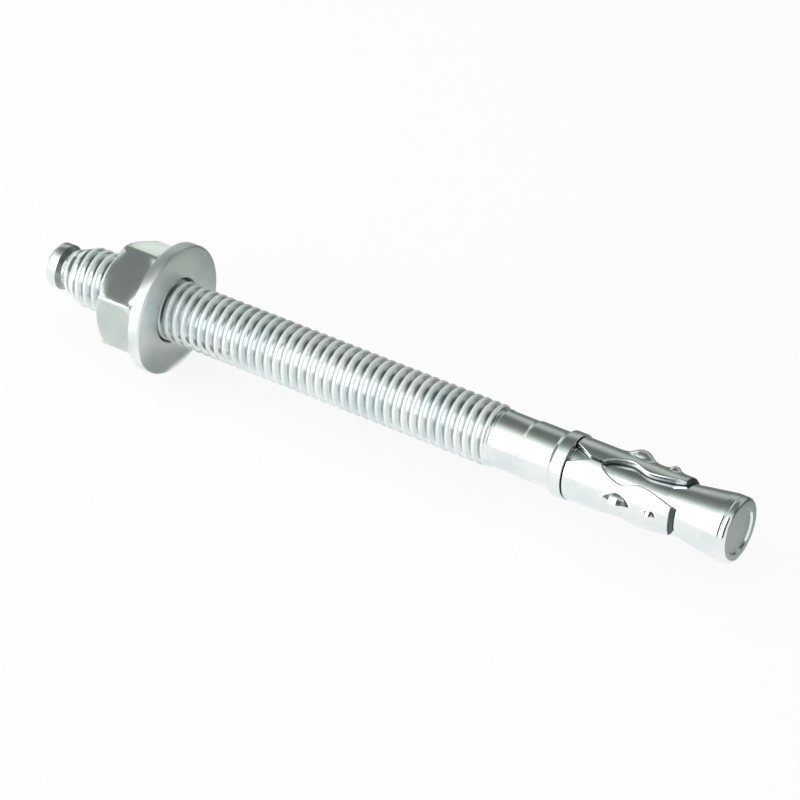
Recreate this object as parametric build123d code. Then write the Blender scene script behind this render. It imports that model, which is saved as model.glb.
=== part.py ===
from build123d import *
import math
import os

os.makedirs("parts", exist_ok=True)

# Wedge anchor for an 8 mm hole: stud, hexagon nut, flat washer and expansion clip.
# Millimetres. The stud's axis is X, from the drive tip (-X) to the expansion cone (+X).
# The origin is on the axis, in the plane of the washer's clamping face. +Z is up.
# Angles round the axis are measured from +Y towards +Z.

# Stud: diameters from the drive tip to the cone
TIP_D = 5.9
TIP_NECK_D = 5.24
CREST_D = 7.87
SHANK_D = 7.1
GUIDE_D = 7.36
COLLAR_D = 8.3
NECK_D = 6.1
CONE_D = 8.3
RECESS_D = 5.9

# Stud: lengths along the axis, in the same order
TIP_STANDOUT = 18.4
TIP_L = 1.45
TIP_TAPER_L = 0.65
TIP_NECK_L = 0.3
LEAD_IN_L = 3.0
THREAD_L = 59.6
PITCH = 1.25
RUN_OUT_TURNS = 1.2
SHANK_L = 3.5
GUIDE_STEP_L = 0.5
GUIDE_L = 4.0
FLARE_L = 0.5
COLLAR_L = 1.55
NECK_L = 13.35
CONE_L = 7.1
LAND_L = 1.8
RECESS_DEPTH = 0.25

# Stud: edges
TIP_EDGE = 0.35
COLLAR_EDGE = 0.12
RIM_R = 0.55
ROUND_STEPS = 2
RIM_GROOVE_DEPTH = 0.1
RIM_GROOVE_W = 0.4

# Nut
NUT_AF = 13.0
NUT_H = 6.5
NUT_FACE_D = 12.3
NUT_CHAMFER_DEG = 30.0
NUT_RUNNING_CLEARANCE = 0.065
NUT_COUNTERSINK_D = 8.7
NUT_CORNER_DEG = 34.1

# Washer
WASHER_D = 17.0
WASHER_T = 1.6
WASHER_CLEARANCE = 0.05
WASHER_EDGE = 0.25
WASHER_BORE_EDGE = 0.18

# Clip: rolled sheet
SHEET_T = 0.8
CLIP_END_GAP = 0.2
LEAF_OVERLAP = 1.7
BAND_L = 4.15
CLIP_RUNNING_CLEARANCE = 0.08
LEAVES = 3
SEAM_DEG = 113.1
SEAM_W = 0.3

# Clip: notch at the collar end of the seam
NOTCH_W = 2.7
NOTCH_L = 2.25

# Clip: wavy slots between the leaves, measured back from the leaf tips to the plain band
SLOT_BELLY_W = 3.35
SLOT_BELLY_FROM_TIP = 7.8
SLOT_WAIST_W = 1.95
SLOT_WAIST_FROM_TIP = 4.9
SLOT_MOUTH_W = 5.2
SLOT_FLARE_W = 3.3
SLOT_FLARE_FROM_TIP = 1.6

# Clip: pressed bumps on each leaf, a large one and a small one nearer the tip
BUMP_AXIS_DEPTH = 0.35
BUMP_L = 4.6
BUMP_H = 0.9
BUMP_FROM_TIP = 7.6
NUB_L = 2.1
NUB_H = 0.5
NUB_FROM_TIP = 3.05
PRESS_DRAFT = 0.1
BUMP_END_SHARE = 0.8
BUMP_STEPS = 4


# Stations along the stud, worked out from the tip
x_tip = -TIP_STANDOUT
x_tip_taper = x_tip + TIP_L
x_tip_neck = x_tip_taper + TIP_TAPER_L
x_lead_in = x_tip_neck + TIP_NECK_L
x_thread = x_lead_in + LEAD_IN_L
x_run_out = x_thread + THREAD_L
x_shank = x_run_out + RUN_OUT_TURNS * PITCH
x_guide_step = x_shank + SHANK_L
x_guide = x_guide_step + GUIDE_STEP_L
x_flare = x_guide + GUIDE_L
x_collar = x_flare + FLARE_L
x_neck = x_collar + COLLAR_L
x_cone = x_neck + NECK_L
x_land = x_cone + CONE_L
x_end = x_land + LAND_L

# Stations along the clip
x_clip = x_neck + CLIP_END_GAP
x_slot = x_clip + BAND_L
x_leaf_tip = x_cone + LEAF_OVERLAP
clip_bore_r = NECK_D / 2 + CLIP_RUNNING_CLEARANCE
clip_r = clip_bore_r + SHEET_T


def turned(outline, eased=(), seam_deg=0):
    """Revolve an outline of (x, radius) points about the stud's axis, some corners chamfered.

    seam_deg places the seam of the revolved surface round the axis, from +Y towards +Z.
    """
    face = make_face(Polyline(*outline, close=True))
    for corner, length in eased:
        vertex = face.vertices().sort_by_distance((*corner, 0))[0]
        face = chamfer(vertex, length)
    return revolve(Rot(X=seam_deg) * face, Axis.X)


def round_over(x_face, side_r, edge_r):
    """Points of a rounded edge, from the side of a turned piece to its end face at +X."""
    turns = [math.radians(90 * step / ROUND_STEPS) for step in range(ROUND_STEPS + 1)]
    return [
        (x_face - edge_r * (1 - math.sin(turn)), side_r - edge_r * (1 - math.cos(turn)))
        for turn in turns
    ]


def cone_radius(x):
    """Radius of the expansion cone, or of the neck before it, at a place along the axis."""
    share = max(0.0, (x - x_cone) / CONE_L)
    return NECK_D / 2 + share * (CONE_D - NECK_D) / 2


def make_stud():
    x_groove = x_end - RIM_R - RIM_GROOVE_W
    half_groove = RIM_GROOVE_W / 2
    tip_edge = (x_tip, TIP_D / 2)
    collar_back = (x_collar, COLLAR_D / 2)
    collar_front = (x_neck, COLLAR_D / 2)
    outline = [
        (x_tip, 0),
        tip_edge,
        (x_tip_taper, TIP_D / 2),
        (x_tip_neck, TIP_NECK_D / 2),
        (x_lead_in, TIP_NECK_D / 2),
        (x_thread, CREST_D / 2),
        (x_run_out, CREST_D / 2),
        (x_shank, SHANK_D / 2),
        (x_guide_step, SHANK_D / 2),
        (x_guide, GUIDE_D / 2),
        (x_flare, GUIDE_D / 2),
        collar_back,
        collar_front,
        (x_neck, NECK_D / 2),
        (x_cone, NECK_D / 2),
        (x_land, CONE_D / 2),
        (x_groove - half_groove, CONE_D / 2),
        (x_groove, CONE_D / 2 - RIM_GROOVE_DEPTH),
        (x_groove + half_groove, CONE_D / 2),
        *round_over(x_end, CONE_D / 2, RIM_R),
        (x_end, RECESS_D / 2),
        (x_end - RECESS_DEPTH, RECESS_D / 2 - RECESS_DEPTH),
        (x_end - RECESS_DEPTH, 0),
    ]
    eased = [(tip_edge, TIP_EDGE), (collar_back, COLLAR_EDGE), (collar_front, COLLAR_EDGE)]
    return turned(outline, eased, seam_deg=-90)


def make_washer():
    bore_r = COLLAR_D / 2 + WASHER_CLEARANCE
    outer_r = WASHER_D / 2
    corners = [(-WASHER_T, bore_r), (-WASHER_T, outer_r), (0, outer_r), (0, bore_r)]
    edges = [WASHER_BORE_EDGE, WASHER_EDGE, WASHER_EDGE, WASHER_BORE_EDGE]
    return turned(corners, list(zip(corners, edges)))


def make_nut():
    x_front = -WASHER_T
    x_back = x_front - NUT_H
    corner_r = NUT_AF / 2 / math.cos(math.radians(30))
    prism = extrude(
        Plane.YZ.offset(x_back) * RegularPolygon(corner_r, 6, rotation=NUT_CORNER_DEG),
        NUT_H,
    )
    face_r = NUT_FACE_D / 2
    chamfer_l = (corner_r - face_r) * math.tan(math.radians(NUT_CHAMFER_DEG))
    bore_r = CREST_D / 2 + NUT_RUNNING_CLEARANCE
    sink_r = NUT_COUNTERSINK_D / 2
    sink_l = sink_r - bore_r
    ring = turned([
        (x_back, sink_r),
        (x_back, face_r),
        (x_back + chamfer_l, corner_r),
        (x_front - chamfer_l, corner_r),
        (x_front, face_r),
        (x_front, sink_r),
        (x_front - sink_l, bore_r),
        (x_back + sink_l, bore_r),
    ])
    return prism & ring


def slot_cutter(slot_deg, is_seam):
    """Cutter for one wavy slot, pressed outwards through the rolled sheet."""
    x_past = x_leaf_tip + SHEET_T
    start_w = SEAM_W if is_seam else 0.0
    wave = [
        (x_slot, start_w / 2),
        (x_leaf_tip - SLOT_BELLY_FROM_TIP, SLOT_BELLY_W / 2),
        (x_leaf_tip - SLOT_WAIST_FROM_TIP, SLOT_WAIST_W / 2),
        (x_leaf_tip - SLOT_FLARE_FROM_TIP, SLOT_FLARE_W / 2),
        (x_leaf_tip, SLOT_MOUTH_W / 2),
    ]
    side = [Spline(*wave, tangents=[(0, 1), (0, 1)], tangent_scalars=[0.5, 0.5])]
    side.append(Line((x_leaf_tip, SLOT_MOUTH_W / 2), (x_past, SLOT_MOUTH_W / 2)))
    if is_seam:
        x_before = x_clip - SHEET_T
        notch = [
            (x_before, NOTCH_W / 2),
            (x_clip, NOTCH_W / 2),
            (x_clip + NOTCH_L, SEAM_W / 2),
            (x_slot, SEAM_W / 2),
        ]
        side.insert(0, Polyline(*notch))
    edges = Curve() + side
    outline = edges + mirror(edges, Plane.XZ)
    outline += Line((x_past, -SLOT_MOUTH_W / 2), (x_past, SLOT_MOUTH_W / 2))
    if is_seam:
        outline += Line((x_before, -NOTCH_W / 2), (x_before, NOTCH_W / 2))
    return Rot(X=slot_deg) * extrude(Plane.XZ * make_face(outline), -COLLAR_D)


def pressed_form(bump, surface_r, leaf_deg, draft=0.0):
    """Spindle that stands out of a leaf's surface as an arch. Draft makes it smaller all round."""
    from_tip, length, height = bump
    end_r = BUMP_AXIS_DEPTH * BUMP_END_SHARE - draft
    rise = height + BUMP_AXIS_DEPTH - draft - end_r
    x_from = x_leaf_tip - from_tip - length / 2 + draft
    x_to = x_from + length - 2 * draft
    shares = [step / BUMP_STEPS for step in range(BUMP_STEPS + 1)]
    arch = [
        (x_from + share * (x_to - x_from), end_r + rise * math.sin(math.pi * share))
        for share in shares
    ]
    spindle = turned([(x_from, 0)] + arch + [(x_to, 0)])
    return Rot(X=leaf_deg) * Pos(0, surface_r - BUMP_AXIS_DEPTH, 0) * spindle


def make_clip():
    bore = [
        (x_clip, clip_bore_r),
        (x_cone, clip_bore_r),
        (x_leaf_tip, cone_radius(x_leaf_tip) + CLIP_RUNNING_CLEARANCE),
    ]
    clip = turned([(x_clip, clip_r), (x_leaf_tip, clip_r)] + bore[::-1])
    core = turned([(x_clip, 0)] + bore + [(x_leaf_tip, 0)])
    bumps = [
        (BUMP_FROM_TIP, BUMP_L, BUMP_H),
        (NUB_FROM_TIP, NUB_L, NUB_H),
    ]
    slot_degs = [SEAM_DEG + leaf * 360 / LEAVES for leaf in range(LEAVES)]
    leaf_degs = [slot_deg + 180 / LEAVES for slot_deg in slot_degs]
    for leaf_deg in leaf_degs:
        for bump in bumps:
            clip += pressed_form(bump, clip_r, leaf_deg)
    clip -= core
    for leaf_deg in leaf_degs:
        for bump in bumps:
            clip -= pressed_form(bump, clip_bore_r, leaf_deg, PRESS_DRAFT)
    for slot_deg in slot_degs:
        clip -= slot_cutter(slot_deg, is_seam=slot_deg == SEAM_DEG)
    return clip


nodes = {
    "anchor_stud": make_stud(),
    "hex_nut": make_nut(),
    "flat_washer": make_washer(),
    "expansion_clip": make_clip(),
}
for name, solid in nodes.items():
    export_step(solid, f"parts/{name}.step")
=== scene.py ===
import math

import bmesh
import bpy
from bpy.props import FloatProperty, FloatVectorProperty, IntProperty, PointerProperty
from mathutils import Matrix, Vector


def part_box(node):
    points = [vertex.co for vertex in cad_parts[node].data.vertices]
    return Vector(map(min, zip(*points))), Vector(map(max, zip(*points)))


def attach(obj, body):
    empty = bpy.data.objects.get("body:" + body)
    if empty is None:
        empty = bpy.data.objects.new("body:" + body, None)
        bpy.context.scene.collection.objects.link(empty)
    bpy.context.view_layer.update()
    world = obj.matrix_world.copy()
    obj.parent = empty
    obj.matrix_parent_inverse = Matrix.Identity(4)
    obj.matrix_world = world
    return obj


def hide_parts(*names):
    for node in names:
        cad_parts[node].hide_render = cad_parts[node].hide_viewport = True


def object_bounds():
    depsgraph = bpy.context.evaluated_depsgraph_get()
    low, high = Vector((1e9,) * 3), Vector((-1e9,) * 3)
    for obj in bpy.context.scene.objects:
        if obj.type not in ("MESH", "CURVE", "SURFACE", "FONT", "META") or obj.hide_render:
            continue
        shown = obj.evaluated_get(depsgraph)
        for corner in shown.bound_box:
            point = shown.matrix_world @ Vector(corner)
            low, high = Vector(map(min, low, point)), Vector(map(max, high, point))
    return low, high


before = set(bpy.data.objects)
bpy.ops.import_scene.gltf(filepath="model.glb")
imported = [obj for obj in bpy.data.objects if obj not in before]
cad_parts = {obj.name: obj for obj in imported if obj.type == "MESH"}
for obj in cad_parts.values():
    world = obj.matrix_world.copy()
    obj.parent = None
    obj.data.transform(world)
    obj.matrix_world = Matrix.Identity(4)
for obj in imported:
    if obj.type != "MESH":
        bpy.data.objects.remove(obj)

# Wedge anchor: threaded stud with an expansion cone, hexagon nut, washer and rolled clip.
# The stud's axis is X. Angles round the axis are measured from +Y towards +Z.

bl_info = {
    "name": "Wedge anchor",
    "version": (1, 0, 0),
    "blender": (4, 5, 0),
    "location": "View3D > Sidebar > Anchor",
    "description": "Zinc-plated wedge anchor with a rolled thread and an expansion clip",
    "category": "Add Mesh",
}

MM = 0.001
CAD_BOX = [list(corner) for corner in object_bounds()]
STUD_LOW, STUD_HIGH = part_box("anchor_stud")
NUT_LOW, NUT_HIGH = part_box("hex_nut")
WASHER_LOW, WASHER_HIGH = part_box("flat_washer")
CLIP_LOW, CLIP_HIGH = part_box("expansion_clip")

EXPOSURE = "exposure"  # point attribute: low values paint shade into thread roots, necks and the clip's inside, 1 on a rubbed edge
# The necks' low exposures paint shade on the tip's neck and on the stud's neck under the clip
TIP_NECK_EXPOSURE = 0.15
CLIP_NECK_EXPOSURE = 0.3
PLAIN_EXPOSURE = 0.6  # turned and formed surfaces
OPEN_EXPOSURE = 0.7  # faces and walls that hands and tools reach
CHAMFER_EXPOSURE = 0.8


def length(label, millimetres, text):
    """A length property whose default is given in millimetres."""
    return FloatProperty(
        name=label, description=text, default=millimetres * MM, unit="LENGTH", precision=5
    )


def tint(label, colour, text):
    """A colour property."""
    return FloatVectorProperty(
        name=label, description=text, default=colour, subtype="COLOR", size=3, min=0, max=1
    )


# ---------------------------------------------------------------- settings


class StudSettings(bpy.types.PropertyGroup):
    tip_diameter: length("Tip diameter", 5.9, "Plain drive tip")
    tip_neck_diameter: length("Tip neck diameter", 5.24, "Neck between the tip and the thread")
    crest_diameter: length("Crest diameter", 7.87, "Thread over its crests")
    root_diameter: length("Root diameter", 6.47, "Thread at its roots")
    pitch: length("Pitch", 1.25, "Advance of the thread in one turn")
    shank_diameter: length("Shank diameter", 7.1, "Plain shank behind the thread")
    guide_diameter: length("Guide diameter", 7.36, "Thicker zone before the collar")
    collar_diameter: length("Collar diameter", 8.3, "Collar that drives the clip")
    neck_diameter: length("Neck diameter", 6.1, "Reduced neck under the clip")
    cone_diameter: length("Cone diameter", 8.3, "Wide end of the expansion cone")
    recess_diameter: length("Recess diameter", 5.9, "Shallow recess in the end face")
    segments: IntProperty(
        name="Segments", description="Facets round the stud", default=96, min=24, max=192
    )


class NutSettings(bpy.types.PropertyGroup):
    face_diameter: length("Face diameter", 11.9, "Flat bearing face inside the corner chamfer")
    across_flats: length("Across flats", 13.0, "Width of the hexagon")
    countersink_diameter: length("Countersink diameter", 8.7, "Mouth of the threaded bore")
    thread_clearance: length("Thread clearance", 0.065, "Radial play on the stud's thread")
    corner_angle: FloatProperty(
        name="Corner angle",
        description="Place of one corner of the hexagon round the axis",
        default=math.radians(34.1),
        subtype="ANGLE",
    )


class WasherSettings(bpy.types.PropertyGroup):
    bore_diameter: length("Bore diameter", 8.4, "Hole of the washer")
    die_roll: length("Die roll", 0.3, "Rounding of the edge on the punch side")
    burr_edge: length("Burr edge", 0.14, "Rounding of the edge on the other side")


class ClipSettings(bpy.types.PropertyGroup):
    diameter: length("Diameter", 7.86, "Outside of the rolled sheet")
    bore_diameter: length("Bore diameter", 6.26, "Inside of the rolled sheet")
    slot_length: length("Slot length", 10.7, "Wavy slot, back from the leaf tips")
    seam_width: length("Seam width", 0.36, "Open seam between the sheet's ends")
    notch_width: length("Notch width", 2.7, "Notch at the collar end of the seam")
    notch_length: length("Notch length", 2.25, "Reach of the notch along the axis")
    bump_height: length("Bump height", 0.9, "Large pressed bump on each leaf")
    nub_height: length("Nub height", 0.5, "Small pressed bump near each leaf's tip")
    seam_angle: FloatProperty(
        name="Seam angle",
        description="Place of the seam round the axis",
        default=math.radians(113.1),
        subtype="ANGLE",
    )


class FinishSettings(bpy.types.PropertyGroup):
    zinc: tint("Zinc", (0.88, 0.91, 0.90), "Bright zinc plate")
    passivate: tint("Passivate", (0.74, 0.81, 0.82), "Cool tint of the clear passivate film")
    # Painted shade: the dark tint that thread roots, necks, the clip's inside and its sheared ends
    # are darkened to
    painted_shade_tint: tint("Root grime", (0.09, 0.12, 0.12), "Dull film in gaps and thread roots")
    roughness: FloatProperty(
        name="Roughness", description="Roughness of clean plate", default=0.17, min=0, max=1
    )


class StageSettings(bpy.types.PropertyGroup):
    floor: tint("Floor", (0.93, 0.93, 0.93), "Plain pale floor")
    lens: FloatProperty(
        name="Lens", description="Focal length of the camera, in millimetres", default=193.5
    )
    card: tint("Card", (0.93, 1.0, 0.93), "Tint of the grey cards that the plate reflects")
    key: FloatProperty(name="Key", description="Brightness of the softbox", default=1.7, min=0)
    top: FloatProperty(name="Top", description="Brightness of the top light", default=0.6, min=0)
    fill: FloatProperty(name="Fill", description="Level of the studio dome", default=0.45, min=0)


class AnchorSettings(bpy.types.PropertyGroup):
    stud: PointerProperty(type=StudSettings, name="Stud", description="Sizes of the stud")
    nut: PointerProperty(type=NutSettings, name="Nut", description="Sizes of the nut")
    washer: PointerProperty(type=WasherSettings, name="Washer", description="Washer sizes")
    clip: PointerProperty(type=ClipSettings, name="Clip", description="Sizes of the clip")
    finish: PointerProperty(type=FinishSettings, name="Finish", description="Plated finish")
    stage: PointerProperty(type=StageSettings, name="Stage", description="Floor and light")


# ---------------------------------------------------------------- node trees


class Value:
    """A node's output. Arithmetic on it adds Math nodes to its graph."""

    def __init__(self, graph, socket):
        self.graph = graph
        self.socket = socket

    def output(self, name):
        """Another output of the same node."""
        return Value(self.graph, self.socket.node.outputs[name])

    def __add__(self, other):
        return self.graph.math("ADD", self, other)

    def __sub__(self, other):
        return self.graph.math("SUBTRACT", self, other)

    def __rsub__(self, other):
        return self.graph.math("SUBTRACT", other, self)

    def __mul__(self, other):
        return self.graph.math("MULTIPLY", self, other)

    def __truediv__(self, other):
        return self.graph.math("DIVIDE", self, other)

    __radd__ = __add__


class Graph:
    """Adds nodes to a shader tree or a geometry tree."""

    def __init__(self, tree):
        self.tree = tree

    def add(self, kind, settings=None, inputs=None):
        """Add a node, its settings first and then its sockets. Gives its first output."""
        node = self.tree.nodes.new(kind)
        for name, setting in (settings or {}).items():
            setattr(node, name, setting)
        for name, given in (inputs or {}).items():
            if isinstance(given, Value):
                self.tree.links.new(given.socket, node.inputs[name])
            else:
                node.inputs[name].default_value = given
        return Value(self, node.outputs[0]) if node.outputs else None

    def math(self, operation, *values):
        """A Math node's result."""
        return self.add("ShaderNodeMath", {"operation": operation}, dict(enumerate(values)))

    def clamped(self, value):
        """The value held between 0 and 1."""
        settings = {"operation": "ADD", "use_clamp": True}
        return self.add("ShaderNodeMath", settings, {0: value, 1: 0.0})

    def ranged(self, value, low, high, to_low=0.0, to_high=1.0):
        """The value carried from one range to another, and held inside it."""
        ends = {"From Min": low, "From Max": high, "To Min": to_low, "To Max": to_high}
        return self.add("ShaderNodeMapRange", inputs={"Value": value, **ends})

    def mixed(self, factor, first, second):
        """Two colours mixed by a factor."""
        made = self.add(
            "ShaderNodeMix", {"data_type": "RGBA"}, {0: factor, 6: first, 7: second}
        )
        return Value(self, made.socket.node.outputs[2])

    def noise(self, place, scale, detail):
        """Noise round 0.5 at a place."""
        return self.add(
            "ShaderNodeTexNoise", inputs={"Vector": place, "Scale": scale, "Detail": detail}
        )

    def attribute(self, name):
        """A float attribute of the mesh."""
        return self.add("ShaderNodeAttribute", {"attribute_name": name}).output("Fac")


def rgba(colour):
    """The colour with full alpha."""
    return (*colour, 1.0)


def new_material(name):
    """A material without nodes, and the graph that fills it."""
    material = bpy.data.materials.new(name)
    material.use_nodes = True
    material.node_tree.nodes.clear()
    return material, Graph(material.node_tree)


# ---------------------------------------------------------------- finishes

CLOUD_SCALE = 210.0  # patches of the passivate film, per metre
SPECKLE_SCALE = 1900.0  # crystals of the plate, per metre
# Scales of the fine forming marks, by the way that the piece was drawn or rolled
MARK_SCALES = {
    "x": (60.0, 1500.0, 1500.0),
    "round": (1500.0, 120.0, 120.0),
    None: (900.0, 900.0, 900.0),
}
FILM_RANGE = (0.38, 0.66)  # levels of the patches between which the film thickens
SHADE_EXPOSURE = 0.5  # painted shade shows under this exposure
SHADE_SPECKLE = 0.15  # how far the speckle breaks up the painted shade's border
FROST_RANGE = (0.76, 0.92)  # exposures between which an edge is rubbed dull
UNEVEN_ROUGHNESS = 0.1  # spread of the roughness over patches and over marks
# roughness added where shade is painted
SHADE_ROUGHNESS = 0.2
FROST_ROUGHNESS = 0.35
MARK_RELIEF = 0.6  # shares of the relief
SPECKLE_RELIEF = 0.4
RELIEF_STRENGTH = 0.25
RELIEF_HEIGHT = 0.04 * MM


def zinc_plate(name, finish, drawn_along=None, grain=1.0, haze=0.0, frost=0.0):
    """Bright zinc plate over steel, with the marks of how the piece was formed."""
    material, graph = new_material(name)
    place = graph.add("ShaderNodeTexCoord").output("Object")
    cloud = graph.noise(place, CLOUD_SCALE, detail=3.0)
    speckle = graph.noise(place, SPECKLE_SCALE, detail=4.0)
    stretched = graph.add(
        "ShaderNodeMapping", inputs={"Vector": place, "Scale": MARK_SCALES[drawn_along]}
    )
    marks = graph.noise(stretched, 1.0, detail=3.0)
    exposure = graph.attribute(EXPOSURE)
    film = graph.ranged(cloud, *FILM_RANGE)
    colour = graph.mixed(film, rgba(finish.zinc), rgba(finish.passivate))
    # Painted shade: the colour darkens towards the shade tint where the exposure is low
    shade = graph.ranged(exposure + (speckle - 0.5) * SHADE_SPECKLE, SHADE_EXPOSURE, 0.0)
    colour = graph.mixed(shade, colour, rgba(finish.painted_shade_tint))
    frosted = graph.ranged(exposure, *FROST_RANGE) * frost
    rough = finish.roughness + haze + (cloud - 0.5) * UNEVEN_ROUGHNESS
    rough = rough + (marks - 0.5) * UNEVEN_ROUGHNESS
    rough = rough + shade * SHADE_ROUGHNESS + frosted * FROST_ROUGHNESS
    relief = (marks * MARK_RELIEF + speckle * SPECKLE_RELIEF) * grain
    bump = graph.add(
        "ShaderNodeBump",
        inputs={"Strength": RELIEF_STRENGTH, "Distance": RELIEF_HEIGHT, "Height": relief},
    )
    shader = graph.add(
        "ShaderNodeBsdfPrincipled",
        inputs={
            "Base Color": colour,
            "Metallic": 1.0 - frosted,
            "Roughness": graph.clamped(rough),
            "Normal": bump,
        },
    )
    graph.add("ShaderNodeOutputMaterial", inputs={"Surface": shader})
    return material


# ---------------------------------------------------------------- mesh helpers

POLE_R = 1e-7  # a point of an outline nearer to the axis than this is on it
WELD = 1e-6  # points nearer to each other than this are one
SLIVER = 1e-7  # an edge shorter than this is dissolved
ROUND_STEPS = 5  # steps in the rounding of an outline's corner


def rounded(corners):
    """Points of an outline whose (x, radius, easing) corners are rounded by their easing."""
    points = []
    for index, (x, radius, easing) in enumerate(corners):
        here = Vector((x, radius))
        if easing == 0 or index in (0, len(corners) - 1):
            points.append(here)
            continue
        before = Vector(corners[index - 1][:2]) - here
        after = Vector(corners[index + 1][:2]) - here
        half = before.angle(after) / 2
        reach = easing / math.tan(half)
        start = here + before.normalized() * reach
        centre = here + (before.normalized() + after.normalized()).normalized() * (
            easing / math.sin(half)
        )
        sweep = (start - centre).angle_signed(here + after.normalized() * reach - centre)
        for step in range(ROUND_STEPS + 1):
            turn = Matrix.Rotation(-sweep * step / ROUND_STEPS, 2)
            points.append(centre + turn @ (start - centre))
    return points


def ring(form, layer, x, radii, angles, exposure):
    """Add a ring of points round the axis."""
    points = []
    for radius, angle in zip(radii, angles):
        point = form.verts.new((x, radius * math.cos(angle), radius * math.sin(angle)))
        point[layer] = exposure
        points.append(point)
    return points


def band(form, first, second, closed=True):
    """Join two rows of points with faces that look outwards from first to second along +X."""
    count = len(first)
    for index in range(count if closed else count - 1):
        after = (index + 1) % count
        form.faces.new((first[index], first[after], second[after], second[index]))


def turned(form, layer, outline, angles, exposure):
    """Revolve an outline of points about the axis, closing it where it meets the axis."""
    rows = []
    for x, radius in outline:
        if radius < POLE_R:
            point = form.verts.new((x, 0, 0))
            point[layer] = exposure
            rows.append([point])
        else:
            rows.append(ring(form, layer, x, [radius] * len(angles), angles, exposure))
    for first, second in zip(rows, rows[1:]):
        if len(first) == 1 or len(second) == 1:
            pole, edge = (first, second) if len(first) == 1 else (second, first)
            for index, point in enumerate(edge):
                after = edge[(index + 1) % len(edge)]
                form.faces.new((pole[0], point, after))
        else:
            band(form, first, second)
    return rows


def expose(rows, layer, low, high, exposure):
    """Give the rows between two places along X another exposure."""
    for row in rows:
        if low < row[0].co.x < high:
            for point in row:
                point[layer] = exposure


def even_angles(count):
    """Angles spread evenly round the axis."""
    return [2 * math.pi * index / count for index in range(count)]


def finish_mesh(form, piece, sharp_deg):
    """Weld the parts of a piece, turn its faces outwards and write its mesh."""
    bmesh.ops.remove_doubles(form, verts=form.verts, dist=WELD)
    bmesh.ops.dissolve_degenerate(form, edges=form.edges, dist=SLIVER)
    bmesh.ops.recalc_face_normals(form, faces=form.faces)
    for face in form.faces:
        face.smooth = True
        face.material_index = 0
    form.to_mesh(piece.data)
    form.free()
    piece.data.set_sharp_from_angle(angle=math.radians(sharp_deg))


def new_piece(name, material):
    """An empty mesh piece at the origin, with its material."""
    piece = bpy.data.objects.new(name, bpy.data.meshes.new(name))
    bpy.context.scene.collection.objects.link(piece)
    piece.data.materials.append(material)
    return piece


# ---------------------------------------------------------------- threads

STATIONS = 16  # steps along one pitch
COUNT_SPARE = 1.25  # one row more than steps, and a margin against rounding down
HALF_CREST = 3 / STATIONS  # where the crest ends, in pitches from its centre
HALF_ROOT = 6.5 / STATIONS  # where the root starts, in pitches from the crest's centre
CREST_EASE = 0.07 * MM  # how far a crest's edges fall away from its middle
ROOT_SAG = 0.03 * MM  # how far a root's middle lies under its edges
# low exposure paints shade into the thread's roots
ROOT_EXPOSURE = 0.2


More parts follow.
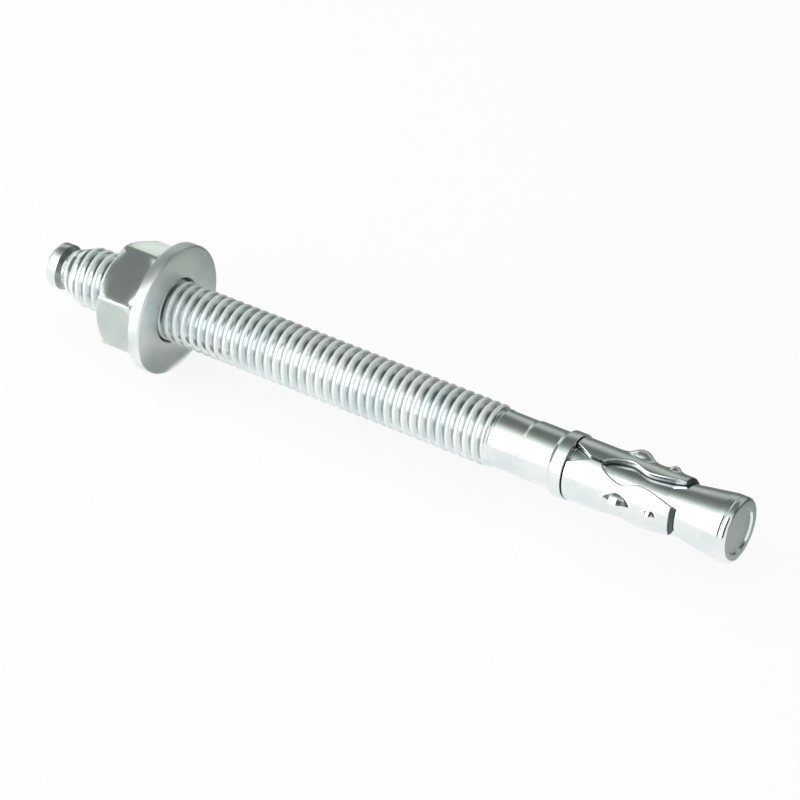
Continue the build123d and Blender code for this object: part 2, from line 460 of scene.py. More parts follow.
def thread_tree(inside):
    """Geometry nodes for a helical thread about X, on a stud or in a bore."""
    name = "Tapped thread" if inside else "Rolled thread"
    tree = bpy.data.node_groups.new(name, "GeometryNodeTree")
    tree.interface.new_socket("Geometry", in_out="OUTPUT", socket_type="NodeSocketGeometry")
    stud_ends = ("Lead-in Radius", "Lead-in", "Run-out", "Run-out Radius")
    ends = ("Countersink Radius",) if inside else stud_ends
    for size in ("Start", "End", "Pitch", "Crest Radius", "Root Radius", *ends):
        tree.interface.new_socket(size, in_out="INPUT", socket_type="NodeSocketFloat")
    tree.interface.new_socket("Segments", in_out="INPUT", socket_type="NodeSocketInt")
    tree.interface.new_socket("Finish", in_out="INPUT", socket_type="NodeSocketMaterial")
    graph = Graph(tree)
    given = graph.add("NodeGroupInput")
    start, end, pitch = (given.output(size) for size in ("Start", "End", "Pitch"))
    crest, root = given.output("Crest Radius"), given.output("Root Radius")

    turns = graph.math("CEIL", (end - start) / pitch) + 1.0
    reach = turns * pitch
    grid = graph.add(
        "GeometryNodeMeshGrid",
        inputs={
            "Size X": reach,
            "Size Y": 1.0,
            "Vertices X": turns * STATIONS + COUNT_SPARE,
            "Vertices Y": given.output("Segments") + COUNT_SPARE,
        },
    )
    flat = graph.add("ShaderNodeSeparateXYZ", inputs={0: graph.add("GeometryNodeInputPosition")})
    along = flat + reach / 2
    turn = flat.output("Y") + 0.5
    x = graph.math("MAXIMUM", along - pitch + start + turn * pitch, start)
    x = graph.math("MINIMUM", x, end)

    phase = graph.math("FRACT", along / pitch)
    from_crest = 0.5 - graph.math("ABSOLUTE", phase - 0.5)
    out = graph.ranged(from_crest, 0.0, HALF_CREST)
    radius = graph.ranged(from_crest, HALF_CREST, HALF_ROOT, crest - CREST_EASE, root)
    radius = radius + (1.0 - out * out) * CREST_EASE
    radius = radius - graph.ranged(from_crest, HALF_ROOT, 0.5, 0.0, ROOT_SAG)
    # Painted shade in the roots, rubbed crests
    exposure = graph.ranged(from_crest, HALF_CREST, HALF_ROOT, 1.0, ROOT_EXPOSURE)
    if inside:
        sink = given.output("Countersink Radius")
        radius = graph.math("MAXIMUM", radius, sink - (x - start))
        radius = graph.math("MAXIMUM", radius, sink - (end - x))
    else:
        lead_r = given.output("Lead-in Radius")
        lead_end = start + given.output("Lead-in")
        radius = graph.math("MINIMUM", radius, graph.ranged(x, start, lead_end, lead_r, crest))
        fade = graph.ranged(x, end - given.output("Run-out"), end)
        radius = radius + (given.output("Run-out Radius") - radius) * fade
        exposure = exposure + (PLAIN_EXPOSURE - exposure) * fade
    angle = turn * (2 * math.pi)
    place = graph.add(
        "ShaderNodeCombineXYZ",
        inputs={
            0: x,
            1: radius * graph.math("COSINE", angle),
            2: radius * graph.math("SINE", angle),
        },
    )
    stored = graph.add(
        "GeometryNodeStoreNamedAttribute",
        {"data_type": "FLOAT", "domain": "POINT"},
        {"Geometry": grid, "Name": EXPOSURE, "Value": exposure},
    )
    wound = graph.add(
        "GeometryNodeSetPosition", inputs={"Geometry": stored, "Position": place}
    )
    welded = graph.add(
        "GeometryNodeMergeByDistance", inputs={"Geometry": wound, "Distance": WELD}
    )
    real = graph.add("GeometryNodeRealizeInstances", inputs={"Geometry": welded})
    done = graph.add(
        "GeometryNodeSetMaterial",
        inputs={"Geometry": real, "Material": given.output("Finish")},
    )
    graph.add("NodeGroupOutput", inputs={"Geometry": done})
    return tree


def grow(name, tree, inputs):
    """Run a geometry tree and keep its result as a plain mesh piece at the origin."""
    piece = new_piece(name, inputs["Finish"])
    modifier = piece.modifiers.new(tree.name, "NODES")
    modifier.node_group = tree
    for item in tree.interface.items_tree:
        if item.in_out == "INPUT":
            modifier[item.identifier] = inputs[item.name]
    seen = piece.evaluated_get(bpy.context.evaluated_depsgraph_get())
    made = bpy.data.meshes.new_from_object(seen)
    made.materials.clear()
    made.materials.append(inputs["Finish"])
    piece.modifiers.remove(modifier)
    piece.data = made
    return piece


# ---------------------------------------------------------------- stud

# Lengths along the stud, in order from its tip
TIP_L = 1.45 * MM
TIP_TAPER_L = 0.65 * MM
TIP_NECK_L = 0.3 * MM
LEAD_IN_L = 3.0 * MM
THREAD_L = 59.6 * MM
RUN_OUT_L = 1.5 * MM
SHANK_L = 3.5 * MM
GUIDE_STEP_L = 0.5 * MM
GUIDE_L = 4.0 * MM
FLARE_L = 0.5 * MM
COLLAR_L = 1.55 * MM
# Lengths at its other end, in order back to the cone, and what is cut into the end
LAND_L = 1.8 * MM
CONE_L = 7.1 * MM
RIM_R = 0.55 * MM  # rounding of the rim
RIM_SHARE = 0.98  # leaves a sliver of land between the rim and the groove
GROOVE_W = 0.4 * MM
GROOVE_DEPTH = 0.1 * MM
RECESS_DEPTH = 0.25 * MM


class ANCHOR_OT_stud(bpy.types.Operator):
    """Make the stud: rolled thread, plain shank, collar and expansion cone"""

    bl_idname = "anchor.stud"
    bl_label = "Make stud"

    def execute(self, context):
        settings = context.scene.anchor
        stud = settings.stud
        plate = zinc_plate("stud_plate", settings.finish, "x", frost=0.6)
        x_tip, x_end = STUD_LOW.x, STUD_HIGH.x
        x_neck_in = x_tip + TIP_L + TIP_TAPER_L
        x_lead_in = x_neck_in + TIP_NECK_L
        x_run_out = x_lead_in + LEAD_IN_L + THREAD_L
        x_shank = x_run_out + RUN_OUT_L
        x_guide = x_shank + SHANK_L + GUIDE_STEP_L
        x_flare = x_guide + GUIDE_L
        x_collar = x_flare + FLARE_L
        x_neck = x_collar + COLLAR_L
        x_land = x_end - LAND_L
        x_groove = x_end - RIM_R - GROOVE_W
        piece = grow(
            "stud_threaded",
            thread_tree(inside=False),
            {
                "Start": x_lead_in,
                "End": x_shank,
                "Pitch": stud.pitch,
                "Crest Radius": stud.crest_diameter / 2,
                "Root Radius": stud.root_diameter / 2,
                "Lead-in Radius": stud.tip_neck_diameter / 2,
                "Lead-in": LEAD_IN_L,
                "Run-out": RUN_OUT_L,
                "Run-out Radius": stud.shank_diameter / 2,
                "Segments": stud.segments,
                "Finish": plate,
            },
        )
        form = bmesh.new()
        form.from_mesh(piece.data)
        layer = form.verts.layers.float[EXPOSURE]
        angles = even_angles(stud.segments)
        tip_r, tip_neck_r = stud.tip_diameter / 2, stud.tip_neck_diameter / 2
        # corners of the outlines, as (place along X, radius, rounding)
        tip = rounded([
            (x_tip, 0, 0),
            (x_tip, tip_r, 0.35 * MM),
            (x_tip + TIP_L, tip_r, 0.3 * MM),
            (x_neck_in, tip_neck_r, 0.2 * MM),
            (x_lead_in, tip_neck_r, 0),
        ])
        rows = turned(form, layer, tip, angles, PLAIN_EXPOSURE)
        # Painted shade on the tip's neck
        expose(rows, layer, x_tip + TIP_L, math.inf, TIP_NECK_EXPOSURE)
        shank_r, guide_r = stud.shank_diameter / 2, stud.guide_diameter / 2
        collar_r, neck_r = stud.collar_diameter / 2, stud.neck_diameter / 2
        cone_r, recess_r = stud.cone_diameter / 2, stud.recess_diameter / 2
        shank = rounded([
            (x_shank, shank_r, 0),
            (x_guide - GUIDE_STEP_L, shank_r, 0.8 * MM),
            (x_guide, guide_r, 0.8 * MM),
            (x_flare, guide_r, 0.5 * MM),
            (x_collar, collar_r, 0.25 * MM),
            (x_neck, collar_r, 0.12 * MM),
            (x_neck, neck_r, 0.15 * MM),
            (x_land - CONE_L, neck_r, 1.0 * MM),
            (x_land, cone_r, 1.5 * MM),
            (x_groove - GROOVE_W / 2, cone_r, 0.05 * MM),
            (x_groove, cone_r - GROOVE_DEPTH, 0.08 * MM),
            (x_groove + GROOVE_W / 2, cone_r, 0.02 * MM),
            (x_end, cone_r, RIM_R * RIM_SHARE),
            (x_end, recess_r, 0.06 * MM),
            (x_end - RECESS_DEPTH, recess_r - RECESS_DEPTH, 0.1 * MM),
            (x_end - RECESS_DEPTH, 0, 0),
        ])
        rows = turned(form, layer, shank, angles, PLAIN_EXPOSURE)
        # Painted shade on the stud's neck under the clip
        expose(rows, layer, x_neck, x_land - CONE_L, CLIP_NECK_EXPOSURE)
        finish_mesh(form, piece, sharp_deg=60)
        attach(piece, "stud")
        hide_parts("anchor_stud")
        return {"FINISHED"}


# ---------------------------------------------------------------- nut

SIDE_STEPS = (-30, -29.2, -28.4, -25, -17, -8, 0, 8, 17, 25, 28.4, 29.2)  # degrees on a flat
NUT_CHAMFER = math.tan(math.radians(30))
CORNER_ROUND = 0.45 * MM  # radius of the hexagon's corners
CHAMFER_SHARES = (0.0, 0.33, 0.66, 0.94)  # rows of points on a chamfer, from the face out
WALL_SHARES = (0.02, 0.25, 0.5, 0.75, 0.98)  # rows of points along the side walls


def hexagon_radius(across_flats, angle_deg):
    """Distance from the axis to the hexagon's side at an angle from a flat's middle."""
    flat_r = across_flats / 2 / math.cos(math.radians(angle_deg))
    corner_r = across_flats / 2 / math.cos(math.radians(30))
    # the corner is an arc whose centre lies on the corner's diagonal
    centre_r = corner_r - CORNER_ROUND / math.cos(math.radians(30))
    off = math.radians(30 - abs(angle_deg))
    inner = CORNER_ROUND**2 - (centre_r * math.sin(off)) ** 2
    if inner < 0:
        return flat_r
    return min(flat_r, centre_r * math.cos(off) + math.sqrt(inner))


class ANCHOR_OT_nut(bpy.types.Operator):
    """Make the hexagon nut with its chamfers and tapped bore"""

    bl_idname = "anchor.nut"
    bl_label = "Make nut"

    def execute(self, context):
        settings = context.scene.anchor
        nut, stud = settings.nut, settings.stud
        plate = zinc_plate("nut_plate", settings.finish, grain=1.6, haze=0.06)
        count = 6 * len(SIDE_STEPS)
        x_back, x_front = NUT_LOW.x, NUT_HIGH.x
        piece = grow(
            "nut_tapped",
            thread_tree(inside=True),
            {
                "Start": x_back,
                "End": x_front,
                "Pitch": stud.pitch,
                "Crest Radius": stud.crest_diameter / 2 + nut.thread_clearance,
                "Root Radius": stud.root_diameter / 2 + nut.thread_clearance,
                "Countersink Radius": nut.countersink_diameter / 2,
                "Segments": count,
                "Finish": plate,
            },
        )
        form = bmesh.new()
        form.from_mesh(piece.data)
        layer = form.verts.layers.float[EXPOSURE]
        start = nut.corner_angle
        even = even_angles(count)
        shift = round(start / (2 * math.pi) * count)
        even = even[shift:] + [angle + 2 * math.pi for angle in even[:shift]]
        angles = [
            start + math.radians(60 * side + 30 + step)
            for side in range(6)
            for step in SIDE_STEPS
        ]
        hexagon = [hexagon_radius(nut.across_flats, step) for step in SIDE_STEPS] * 6
        face_r, sink_r = nut.face_diameter / 2, nut.countersink_diameter / 2
        drop = [(radius - face_r) * NUT_CHAMFER for radius in hexagon]
        middle_r = (sink_r + face_r) / 2

        def face_ring(x, radius, turns, exposure):
            """A round row of points on a face of the nut."""
            return ring(form, layer, x, [radius] * count, turns, exposure)

        def edge_row(share, exposure, x_of):
            """A row of points at a share of the way out from the face to the hexagon."""
            row = []
            for radius, fall, angle in zip(hexagon, drop, angles):
                out = face_r + (radius - face_r) * share
                x = x_of(fall)
                point = form.verts.new((x, out * math.cos(angle), out * math.sin(angle)))
                point[layer] = exposure
                row.append(point)
            return row

        rows = [face_ring(x_back, sink_r, even, OPEN_EXPOSURE)]
        rows.append(face_ring(x_back, middle_r, angles, PLAIN_EXPOSURE))
        for share in CHAMFER_SHARES:
            rows.append(
                edge_row(share, CHAMFER_EXPOSURE, lambda fall, s=share: x_back + fall * s)
            )
        for share in WALL_SHARES:
            rows.append(
                edge_row(
                    1.0,
                    OPEN_EXPOSURE,
                    lambda fall, s=share: (x_back + fall) * (1 - s) + (x_front - fall) * s,
                )
            )
        for share in reversed(CHAMFER_SHARES):
            rows.append(
                edge_row(share, CHAMFER_EXPOSURE, lambda fall, s=share: x_front - fall * s)
            )
        rows.append(face_ring(x_front, middle_r, angles, PLAIN_EXPOSURE))
        rows.append(face_ring(x_front, sink_r, even, OPEN_EXPOSURE))
        for first, second in zip(rows, rows[1:]):
            band(form, first, second)
        finish_mesh(form, piece, sharp_deg=24)
        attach(piece, "nut")
        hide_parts("hex_nut")
        return {"FINISHED"}


# ---------------------------------------------------------------- washer

WASHER_SEGMENTS = 128


class ANCHOR_OT_washer(bpy.types.Operator):
    """Make the stamped washer"""

    bl_idname = "anchor.washer"
    bl_label = "Make washer"

    def execute(self, context):
        settings = context.scene.anchor
        washer = settings.washer
        plate = zinc_plate("washer_plate", settings.finish, grain=1.2, haze=0.24)
        piece = new_piece("washer_stamped", plate)
        form = bmesh.new()
        layer = form.verts.layers.float.new(EXPOSURE)
        outer_r, bore_r = WASHER_HIGH.y, washer.bore_diameter / 2
        middle_r = (outer_r + bore_r) / 2
        x_back, x_front = WASHER_LOW.x, WASHER_HIGH.x
        outline = rounded([
            (x_back, middle_r, 0),
            (x_back, outer_r, washer.burr_edge),
            (x_front, outer_r, washer.die_roll),
            (x_front, bore_r, washer.die_roll),
            (x_back, bore_r, washer.burr_edge),
            (x_back, middle_r, 0),
        ])
        turned(form, layer, outline, even_angles(WASHER_SEGMENTS), OPEN_EXPOSURE)
        finish_mesh(form, piece, sharp_deg=45)
        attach(piece, "washer")
        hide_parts("flat_washer")
        return {"FINISHED"}


# ---------------------------------------------------------------- clip

LEAVES = 3
LEAF_COLUMNS = 52  # steps across a leaf
BAND_ROWS = 14  # steps along the band, from the collar to the slots
SLOT_STEPS = 20  # steps between two turning points of a slot's edge
# A slot's edge, as (distance back from the leaf tips, half its width) in mm
SLOT_EDGE = ((7.8, 1.675), (4.9, 0.975), (1.6, 1.65), (0.0, 2.45))
SLOT_FIRST_SLOPE = Vector((0, 2.2 * MM))  # way that the edge leaves the slot's blind end
SLOT_LAST_SLOPE = Vector((0.1 * MM, 1.6 * MM))  # way that it meets the leaf tips
# Pressed bumps, as (distance back from the leaf tips, length) in mm
BUMP = (7.6, 4.6)
NUB = (3.05, 2.1)
PRESS_AXIS_DEPTH = 0.35 * MM  # depth under the sheet of the line that a bump is round about
PRESS_RAMPS = (0.5, 0.42)  # shares of a bump's length taken by its slopes
PRESS_FOOT = 0.12 * MM  # how softly the bumps rise out of the sheet
PRESS_SINK = PRESS_FOOT / 20  # takes off the little that the soft foot adds far away
PRESS_THROUGH = 0.95  # share of a bump that also shows as a hollow inside
CLIP_CLEARANCE = 0.08 * MM  # play between the leaves and the cone
EDGE_R = 0.16 * MM  # rounding of the sheet's edges
EDGE_SHARES = (0.0, 0.12, 0.4, 1.0)  # columns of points on that rounding
SHEAR_L = 0.5 * MM  # slant of the leaves' sheared ends
SHEAR_LIP = 0.06 * MM  # sheet left at the very end of the slant
SHEAR_EASE = 0.6  # how much of the edges' rounding the start of the slant has


def leaf_columns(width):
    """Places of the points across a leaf, as shares of its width, closer at its eased edges."""
    near = [EDGE_R * share / width for share in EDGE_SHARES]
    inner = LEAF_COLUMNS - 2 * len(near) + 1
    middle = [
        near[-1] + (1 - 2 * near[-1]) * (index + 1) / (inner + 1) for index in range(inner)
    ]
    return near + middle + [1 - share for share in reversed(near)]


def smooth_edge(points, first_slope, last_slope, steps):
    """Points of a smooth line through the given ones, as a chain of cubic arcs."""
    slopes = [first_slope]
    for before, after in zip(points, points[2:]):
        slopes.append((after - before) / 2)
    slopes.append(last_slope)
    line = [points[0]]
    for index in range(len(points) - 1):
        here, there = points[index], points[index + 1]
        leave, arrive = slopes[index], slopes[index + 1]
        for step in range(1, steps + 1):
            t = step / steps
            line.append(
                here * (2 * t**3 - 3 * t**2 + 1)
                + leave * (t**3 - 2 * t**2 + t)
                + there * (3 * t**2 - 2 * t**3)
                + arrive * (t**3 - t**2)
            )
    return line


class ANCHOR_OT_clip(bpy.types.Operator):
    """Make the rolled expansion clip with its wavy leaves and pressed bumps"""

    bl_idname = "anchor.clip"
    bl_label = "Make clip"

    def execute(self, context):
        settings = context.scene.anchor
        clip, stud = settings.clip, settings.stud
        plate = zinc_plate("clip_plate", settings.finish, "round")
        piece = new_piece("clip_rolled", plate)
        x_back, x_tip = CLIP_LOW.x, CLIP_HIGH.x
        x_slot = x_tip - clip.slot_length
        x_cone = STUD_HIGH.x - LAND_L - CONE_L
        outer_r, bore_r = clip.diameter / 2, clip.bore_diameter / 2
        seam = clip.seam_width / 2

        turning = [Vector((x_slot, 0.0))]
        turning += [Vector((x_tip - back * MM, half * MM)) for back, half in SLOT_EDGE]
        slot_line = smooth_edge(turning, SLOT_FIRST_SLOPE, SLOT_LAST_SLOPE, SLOT_STEPS)
        rows = []  # (x, half width of a slot, half width of the seam)
        for step in range(BAND_ROWS):
            x = x_back + (x_slot - x_back) * step / BAND_ROWS
            into = max(0.0, 1 - (x - x_back) / clip.notch_length)
            rows.append((x, 0.0, seam + (clip.notch_width / 2 - seam) * into))
        rows += [(x, half, max(half, seam)) for x, half in slot_line]
        for back in (SHEAR_L + EDGE_R, SHEAR_L + EDGE_R / 2, SHEAR_L, SHEAR_L * 0.9, SHEAR_L / 2):
            x = x_tip - back
            after = next(index for index, row in enumerate(rows) if row[0] > x)
            (x_low, half_low, _), (x_high, half_high, _) = rows[after - 1], rows[after]
            half = half_low + (half_high - half_low) * (x - x_low) / (x_high - x_low)
            rows.insert(after, (x, half, max(half, seam)))

        def bore_at(x):
            """Radius of the clip's bore, which widens to follow the cone."""
            share = max(0.0, (x - x_cone) / CONE_L)
            cone_r = (stud.neck_diameter + share * (stud.cone_diameter - stud.neck_diameter)) / 2
            return max(bore_r, cone_r + CLIP_CLEARANCE)

        def eased(from_edge):
            """How far the sheet's rounded edge falls away, at a distance in from the edge."""
            short = min(1.0, max(0.0, 1 - from_edge / EDGE_R))
            return EDGE_R * (1 - math.sqrt(1 - short**2))

        def pressed(x, off_angle):
            """How far the sheet is pushed out at a place on a leaf."""
            out = 0.0
            for (back, reach), height in ((BUMP, clip.bump_height), (NUB, clip.nub_height)):
                along = (x - (x_tip - back * MM)) / (reach * MM) + 0.5
                ramp = min(1.0, along / PRESS_RAMPS[0], (1 - along) / PRESS_RAMPS[1])
                arch = ramp if ramp < 0 else ramp**2 * (3 - 2 * ramp)
                core_r = max(0.0, PRESS_AXIS_DEPTH + height * arch)
                centre_r = outer_r - PRESS_AXIS_DEPTH
                inner = core_r**2 - (centre_r * math.sin(off_angle)) ** 2
                if inner > 0 and abs(off_angle) < math.pi / 2:
                    rise = centre_r * math.cos(off_angle) + math.sqrt(inner) - outer_r
                    soft = (rise + math.hypot(rise, PRESS_FOOT)) / 2 - PRESS_SINK
                    out = max(out, soft)
            return out

        form = bmesh.new()
        layer = form.verts.layers.float.new(EXPOSURE)
        for leaf in range(LEAVES):
            middle = clip.seam_angle + (leaf + 0.5) * 2 * math.pi / LEAVES
            half_leaf = math.pi / LEAVES
            outside, inside = [], []
            for x, half, seam_half in rows:
                low = half_leaf - math.asin((seam_half if leaf == 0 else half) / outer_r)
                high = half_leaf - math.asin((seam_half if leaf == LEAVES - 1 else half) / outer_r)
                outer_row, inner_row = [], []
                end = max(0.0, x - (x_tip - SHEAR_L)) / SHEAR_L
                sheared = end * (outer_r - bore_at(x_tip) - SHEAR_LIP)
                for share in leaf_columns((low + high) * outer_r):
                    off = -low + (low + high) * share
                    push = pressed(x, off)
                    near = min(low + off, high - off) * outer_r
                    fall = eased(near) if half > 0 or seam_half > seam else 0.0
                    bend = eased(abs(x - (x_tip - SHEAR_L))) * SHEAR_EASE
                    fall = max(fall, bend + sheared)
                    for row, radius in (
                        (outer_row, outer_r + push - fall),
                        (inner_row, bore_at(x) + push * PRESS_THROUGH),
                    ):
                        angle = middle + off
                        point = form.verts.new(
                            (x, radius * math.cos(angle), radius * math.sin(angle))
                        )
                        # The clip's inside and its sheared ends get no exposure: painted shade
                        # there
                        open_side = row is outer_row and end == 0
                        point[layer] = OPEN_EXPOSURE if open_side else 0.0
                        row.append(point)
                outside.append(outer_row)
                inside.append(inner_row)
            for grid in (outside, inside):
                for first, second in zip(grid, grid[1:]):
                    band(form, first, second, closed=False)
            band(form, outside[0], inside[0], closed=False)
            band(form, outside[-1], inside[-1], closed=False)
            for index in range(len(rows) - 1):
                for side, at_seam in ((0, leaf == 0), (-1, leaf == LEAVES - 1)):
                    if at_seam or rows[index][1] + rows[index + 1][1] > 0:
                        form.faces.new((
                            outside[index][side],
                            outside[index + 1][side],
                            inside[index + 1][side],
                            inside[index][side],
                        ))
        finish_mesh(form, piece, sharp_deg=50)
        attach(piece, "clip")
        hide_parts("expansion_clip")
        return {"FINISHED"}


# ---------------------------------------------------------------- stage

FLOOR_HALF = 3.0
FLOOR_WHITE = 0.86  # share of white in the floor that the camera and the plate see
CARD_LEVEL = "card_level"  # point attribute: brightness of a grey card
CARD_RADIUS = 0.5
CARD_LIFT = 0.2 * MM  # height of the cards' foot over the floor
FLOOR_CARD_START = 0.003  # where the floor card starts, behind the axis
FLOOR_CARD_LINES = 33
FLOOR_CARD_GROWTH = 1.17  # each line is this much further from the axis than the one before
CARD_TOP_DEG = 108
BACK_CARD_STEPS = 56
# Brightness of the cards behind and over the anchor, as (angle round the axis, level) pairs
CARD_STRIPES = (
    (-70, 0.60), (-42, 0.60), (-30, 0.53), (-18, 0.34), (-8, 0.17), (4, 0.17), (14, 0.42),
    (26, 0.56), (36, 0.47), (48, 0.20), (58, 0.15), (72, 0.18), (84, 0.26), (93, 0.45),
    (101, 0.85), (CARD_TOP_DEG, 1.0),
)
# Share of that brightness on the floor and on the wall, as (place along X, share) pairs
FLOOR_TONES = (
    (-0.9, 1.6), (-0.03, 1.2), (0.0, 1.05), (0.02, 1.0), (0.035, 1.0), (0.076, 1.0),
    (0.083, 0.65), (0.11, 0.65), (0.14, 0.5), (0.6, 0.5),
)
WALL_TONES = ((-0.9, 3.0), (-0.42, 3.0), (-0.36, 1.0), (0.6, 1.0))
SIDE_CARD_X = (0.09, 0.6)  # ends of the dark card beside the softbox
SIDE_CARD_END_DEG = 240
SIDE_CARD_STEPS = 24
SIDE_LEVEL = 0.1
END_CARD_TOP_DEG = 75  # the end card closes the far end of the cards, beyond the cone
END_CARD_STEPS = 30
END_CARD_INNER = 0.3  # inner edge of the end card, as a share of the cards' radius
FAR_CARD = (-0.9, 0.42, 0.2)  # place along X, half width and level of the card beyond the tip
# Their levels paint reflections: shade over the nut's upper flat, light beside its top flat, and
# darker floor under the nut and the washer
# Small cards: name, centre in mm, the way they face, width and height in mm, level
SMALL_CARDS = (
    ("nut_shade", (-12.0, -8.2, 17.9), (-0.495, -0.299, 0.816), (14.0, 15.0), 0.17),
    ("nut_light", (-11.8, 15.4, 3.6), (-0.495, 0.856, -0.149), (8.0, 9.0), 0.85),
    ("nut_foot", (-12.5, -13.5, -8.0), (0.0, 0.0, -1.0), (13.0, 11.0), 0.72),
    ("washer_foot", (3.8, -3.0, -8.1), (0.0, 0.0, -1.0), (7.0, 11.9), 0.32),
)
SOFTBOX = (0.98, 0.62)  # length along X and width of each lamp
SOFTBOX_AWAY = 0.5  # distance from the axis
SOFTBOX_DEG = 146.0  # place round the axis
SOFTBOX_X = -0.43
TOP_LIGHT_DEG = 90.0
CAMERA_PLACE = Vector((0.2614, -0.3484, 0.3124))
CAMERA_RIGHT = Vector((0.83637, 0.54817, 0.0))
CAMERA_UP = Vector((-0.32912, 0.50215, 0.79972))


def level_at(pairs, place):
    """The level between (place, level) pairs, held at the first and the last."""
    for (low, before), (high, after) in zip(pairs, pairs[1:]):
        if low <= place <= high:
            return before + (after - before) * (place - low) / (high - low)
    return pairs[0][1] if place < pairs[0][0] else pairs[-1][1]


def background_rays(graph):
    """1 for the rays that see the white background: camera, glossy and transmission rays."""
    ray = graph.add("ShaderNodeLightPath")
    return graph.clamped(
        ray + ray.output("Is Glossy Ray") + ray.output("Is Transmission Ray")
    )


class ANCHOR_OT_stage(bpy.types.Operator):
    """Set the pale floor, soft studio light and camera"""

    bl_idname = "anchor.stage"
    bl_label = "Set stage"

    def execute(self, context):
        scene = context.scene
        settings = scene.anchor.stage
        scene.view_settings.view_transform = "Standard"
        self.floor(settings)
        self.world(scene, settings)
        self.cards(settings)
        self.lamps(scene, settings)
        self.camera(scene, settings)
        return {"FINISHED"}

    def floor(self, settings):
        """A pale floor that takes shadows, and is white to the background rays."""
        material, graph = new_material("floor_paper")
        seen = background_rays(graph)
        paper = graph.add("ShaderNodeBsdfDiffuse", inputs={"Color": rgba(settings.floor)})
        white = graph.add("ShaderNodeEmission", inputs={"Color": (1, 1, 1, 1), "Strength": 1.0})
        surface = graph.add(
            "ShaderNodeMixShader", inputs={0: seen * FLOOR_WHITE, 1: paper, 2: white}
        )
        graph.add("ShaderNodeOutputMaterial", inputs={"Surface": surface})
        floor = new_piece("floor", material)
        half, z = FLOOR_HALF, CAD_BOX[0][2]
        corners = [(-half, -half, z), (half, -half, z), (half, half, z), (-half, half, z)]
        floor.data.from_pydata(corners, [], [(0, 1, 2, 3)])

    def world(self, scene, settings):
        """A plain studio dome, white to the background rays."""
        world = bpy.data.worlds.new("studio")
        world.use_nodes = True
        world.node_tree.nodes.clear()
        graph = Graph(world.node_tree)
        level = settings.fill + background_rays(graph) * (1 - settings.fill)
        back = graph.add(
            "ShaderNodeBackground", inputs={"Color": (1, 1, 1, 1), "Strength": level}
        )
        graph.add("ShaderNodeOutputWorld", inputs={"Surface": back})
        scene.world = world

    def cards(self, settings):
        """Hang the grey cards that the plate reflects, behind, over and beside the anchor."""
        z_foot = CAD_BOX[0][2] + CARD_LIFT
        foot_deg = math.degrees(math.asin(z_foot / CARD_RADIUS))

        def arc(first_deg, last_deg, count):
            """(y, z) points round the axis."""
            turns = (
                math.radians(first_deg + (last_deg - first_deg) * step / count)
                for step in range(count + 1)
            )
            return [(CARD_RADIUS * math.cos(turn), CARD_RADIUS * math.sin(turn)) for turn in turns]

        def striped(x, y, z):
            """Level of the floor card and the back card at a place."""
            tones = FLOOR_TONES if z < z_foot + CARD_LIFT / 2 else WALL_TONES
            stripe = level_at(CARD_STRIPES, math.degrees(math.atan2(z, y)))
            return min(1.0, stripe * level_at(tones, x))

        def even(level):
            """The same level everywhere."""
            return lambda x, y, z: level

        line = [
            (FLOOR_CARD_START * FLOOR_CARD_GROWTH**step, z_foot)
            for step in range(FLOOR_CARD_LINES)
        ]
        self.card("floor_card", settings, line, [place for place, _ in FLOOR_TONES], striped)
        line = arc(foot_deg, CARD_TOP_DEG, BACK_CARD_STEPS)
        self.card("back_card", settings, line, [place for place, _ in WALL_TONES], striped)
        line = arc(CARD_TOP_DEG, SIDE_CARD_END_DEG, SIDE_CARD_STEPS)
        self.card("side_card", settings, line, SIDE_CARD_X, even(SIDE_LEVEL))
        line = arc(foot_deg, END_CARD_TOP_DEG, END_CARD_STEPS)
        line += [
            (y * END_CARD_INNER, max(z * END_CARD_INNER, z_foot)) for y, z in reversed(line)
        ]
        self.card("end_card", settings, line, SIDE_CARD_X[1:], even(SIDE_LEVEL))
        place, half, far_level = FAR_CARD
        line = [(-half, z_foot), (half, z_foot), (half, half), (-half, half)]
        self.card("far_card", settings, line, (place,), even(far_level))
        for name, centre, away, size, level in SMALL_CARDS:
            self.small_card(name, settings, centre, away, size, level)

    def small_card(self, name, settings, centre, away, size, level):
        """A small flat card beside one face of the anchor."""
        away = Vector(away).normalized()
        side = away.orthogonal().normalized() if abs(away.z) < 1 else Vector((1, 0, 0))
        up = away.cross(side)
        across, height = size
        centre = Vector(centre)
        corners = [
            (centre + side * (across / 2 * right) + up * (height / 2 * over)) * MM
            for right, over in ((-1, -1), (1, -1), (1, 1), (-1, 1))
        ]
        card = self.painted_card(name, settings)
        card.data.from_pydata(corners, [], [(0, 1, 2, 3)])
        layer = card.data.attributes.new(CARD_LEVEL, "FLOAT", "POINT")
        layer.data.foreach_set("value", [level] * 4)

    def painted_card(self, name, settings):
        """An empty card that only the plate's reflections see."""
        material, graph = new_material(name)
        paint = graph.add(
            "ShaderNodeEmission",
            inputs={"Color": rgba(settings.card), "Strength": graph.attribute(CARD_LEVEL)},
        )
        graph.add("ShaderNodeOutputMaterial", inputs={"Surface": paint})
        card = new_piece(name, material)
        card.visible_camera = card.visible_diffuse = card.visible_shadow = False
        card.visible_transmission = False
        return card

    def card(self, name, settings, line, places, level):
        """One card: a line of (y, z) points swept along X, or a flat sheet at one place."""
        card = self.painted_card(name, settings)
        form = bmesh.new()
        layer = form.verts.layers.float.new(CARD_LEVEL)
        rows = []
        for y, z in line:
            row = [form.verts.new((x, y, z)) for x in places]
            for point in row:
                point[layer] = level(*point.co)
            rows.append(row)
        if len(places) == 1:
            form.faces.new([row[0] for row in rows])
        else:
            for first, second in zip(rows, rows[1:]):
                band(form, first, second, closed=False)
        form.to_mesh(card.data)
        form.free()

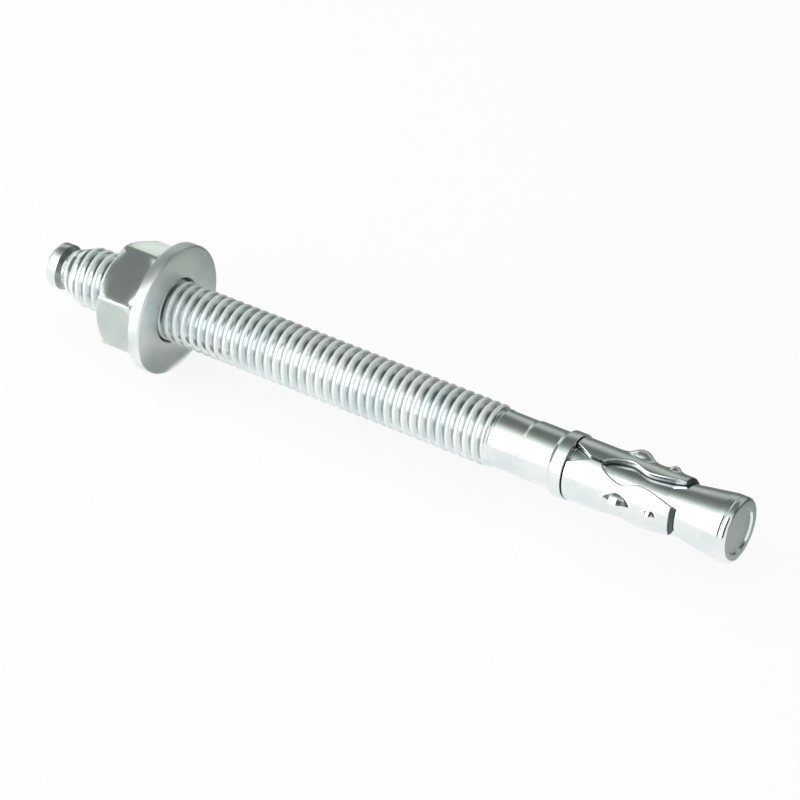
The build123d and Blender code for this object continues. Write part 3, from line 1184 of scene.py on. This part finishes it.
    def lamps(self, scene, settings):
        """The softbox that the plate mirrors, and a top light that it doesn't."""
        self.lamp(scene, "softbox", settings.key, SOFTBOX_DEG, SOFTBOX_X)
        top = self.lamp(scene, "top_light", settings.top, TOP_LIGHT_DEG, 0.0)
        top.visible_glossy = False  # the plate shows the cards there

    def lamp(self, scene, name, level, turn_deg, along):
        """A rectangular softbox of the given brightness, facing the anchor's axis."""
        lamp = bpy.data.lights.new(name, "AREA")
        lamp.shape = "RECTANGLE"
        lamp.size, lamp.size_y = SOFTBOX
        lamp.energy = level * math.pi * SOFTBOX[0] * SOFTBOX[1]
        holder = bpy.data.objects.new(name, lamp)
        scene.collection.objects.link(holder)
        turn = math.radians(turn_deg)
        out = Vector((0, math.cos(turn), math.sin(turn)))
        across = Vector((1, 0, 0))
        axes = Matrix((across, out.cross(across), out)).transposed()
        place = Vector((along, 0, 0)) + out * SOFTBOX_AWAY
        holder.matrix_world = Matrix.Translation(place) @ axes.to_4x4()
        return holder

    def camera(self, scene, settings):
        """The camera, looking down on the anchor from the cone's side."""
        lens = bpy.data.cameras.new("camera")
        lens.lens = settings.lens
        lens.clip_start, lens.clip_end = 0.01, 20.0
        camera = bpy.data.objects.new("camera", lens)
        scene.collection.objects.link(camera)
        back = CAMERA_RIGHT.cross(CAMERA_UP)
        axes = Matrix((CAMERA_RIGHT, CAMERA_UP, back)).transposed()
        camera.matrix_world = Matrix.Translation(CAMERA_PLACE) @ axes.to_4x4()
        scene.camera = camera


# ---------------------------------------------------------------- panel and run


class ANCHOR_PT_panel(bpy.types.Panel):
    """Lists the pieces of the anchor and their sizes"""

    bl_idname = "ANCHOR_PT_panel"
    bl_label = "Wedge anchor"
    bl_space_type = "VIEW_3D"
    bl_region_type = "UI"
    bl_category = "Anchor"

    def draw(self, context):
        settings = context.scene.anchor
        for label, group, operator in (
            ("Stud", settings.stud, "anchor.stud"),
            ("Nut", settings.nut, "anchor.nut"),
            ("Washer", settings.washer, "anchor.washer"),
            ("Clip", settings.clip, "anchor.clip"),
            ("Finish", settings.finish, None),
            ("Stage", settings.stage, "anchor.stage"),
        ):
            box = self.layout.box()
            box.label(text=label)
            for name in group.__annotations__:
                box.prop(group, name)
            if operator:
                box.operator(operator)


CLASSES = (
    StudSettings,
    NutSettings,
    WasherSettings,
    ClipSettings,
    FinishSettings,
    StageSettings,
    AnchorSettings,
    ANCHOR_OT_stud,
    ANCHOR_OT_nut,
    ANCHOR_OT_washer,
    ANCHOR_OT_clip,
    ANCHOR_OT_stage,
    ANCHOR_PT_panel,
)


def register():
    """Register the classes and the scene's settings."""
    for item in CLASSES:
        bpy.utils.register_class(item)
    bpy.types.Scene.anchor = PointerProperty(type=AnchorSettings)


def unregister():
    """Take the settings and the classes away again."""
    del bpy.types.Scene.anchor
    for item in reversed(CLASSES):
        bpy.utils.unregister_class(item)


def main():
    """Make every piece and the stage."""
    register()
    bpy.ops.anchor.stud()
    bpy.ops.anchor.nut()
    bpy.ops.anchor.washer()
    bpy.ops.anchor.clip()
    bpy.ops.anchor.stage()


if __name__ == "__main__":
    main()
